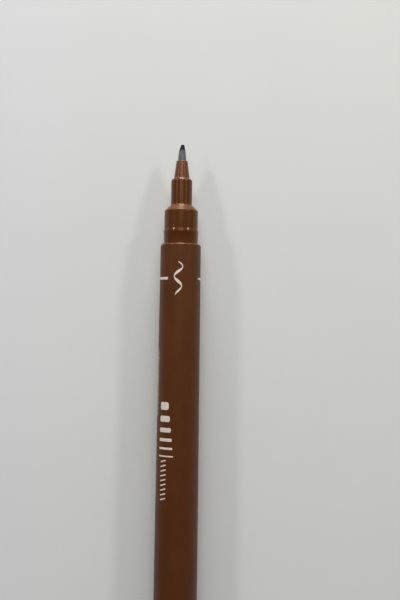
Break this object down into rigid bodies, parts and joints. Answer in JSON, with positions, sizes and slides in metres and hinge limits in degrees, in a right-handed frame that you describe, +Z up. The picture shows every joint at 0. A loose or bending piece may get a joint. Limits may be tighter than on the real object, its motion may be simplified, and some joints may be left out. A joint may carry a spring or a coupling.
{
  "type": "brush pen",
  "caption": "Slim drawing pen with a flexible fibre brush tip in a stepped front section, its clip cap posted on the tail.",
  "frame": {"origin": "bottom centre of the bounding box, on the surface that the pen lies on", "axes": "+Y along the pen towards the nib, +Z up"},
  "size_m": [0.0124, 0.1542, 0.0112],
  "materials": {
    "barrel_plastic": "semi-gloss moulded brown",
    "section_plastic": "glossy moulded brown",
    "holder_plastic": "glossy moulded brown, slightly lighter",
    "nib_fibre": "bonded fibre, stained black at the point",
    "reservoir_fibre": "ink-soaked fibre",
    "film": "thin wrap",
    "cap_plastic": "semi-gloss moulded brown",
    "liner_plastic": "natural polyethylene",
    "clip_steel": "satin stainless strip",
    "print_white": "pad-printed white marks"
  },
  "bodies": {
    "pen": {"barrel": "barrel_plastic", "front_section": "section_plastic", "nib_holder": "holder_plastic", "nib_stem": "nib_fibre", "ink_reservoir": "reservoir_fibre", "reservoir_film": "film", "tail_plug": "barrel_plastic"},
    "nib": {"brush_tip": "nib_fibre"},
    "cap": {"cap_shell": "cap_plastic", "cap_crown": "cap_plastic", "inner_cap": "liner_plastic"},
    "clip": {"clip": "clip_steel"}
  },
  "joints": [
    {"name": "cap_pull", "type": "slide", "parent": "pen", "child": "cap", "axis": [0, -1, 0], "range_m": [0, 0.03]},
    {"name": "clip_flex", "type": "hinge", "parent": "cap", "child": "clip", "pos_m": [0.00396, -0.07525, 0.00237], "axis": [-0.5761, 0, -0.8174], "range_deg": [0, 5], "stiffness_Nm_per_rad": 0.6},
    {"name": "nib_flex", "type": "hinge", "parent": "pen", "child": "nib", "pos_m": [-0.00062, 0.07278, 0.0056], "axis": [1, 0, 0], "range_deg": [-16, 16], "stiffness_Nm_per_rad": 0.007}
  ]
}
